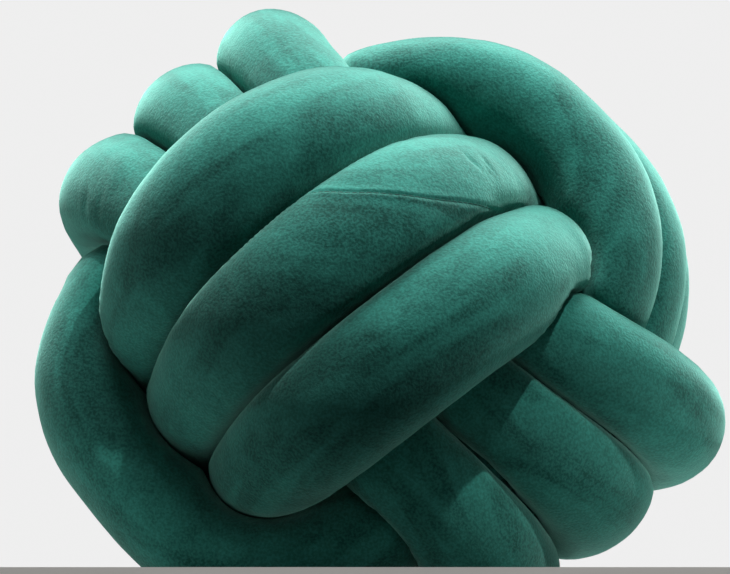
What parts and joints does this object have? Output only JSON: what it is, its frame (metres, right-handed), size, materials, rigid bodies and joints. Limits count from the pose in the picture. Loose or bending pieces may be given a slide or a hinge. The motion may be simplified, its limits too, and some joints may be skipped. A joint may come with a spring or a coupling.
{
  "type": "knot cushion",
  "caption": "Knot cushion: a long stuffed tube of short-pile velvet knotted into a ball of interlocking bands of side-by-side strands.",
  "frame": {"origin": "bottom centre of the cushion's box, on the surface it lies on", "axes": "-Z is down, out of the flat spots the cushion rests on; -Y is the face with the three broad strands that climb to the right; +X is its right"},
  "size_m": [0.3044, 0.289, 0.2877],
  "materials": {
    "velvet": "short-pile velvet"
  },
  "bodies": {
    "root": {"knotted_tube": "velvet"}
  },
  "joints": []
}
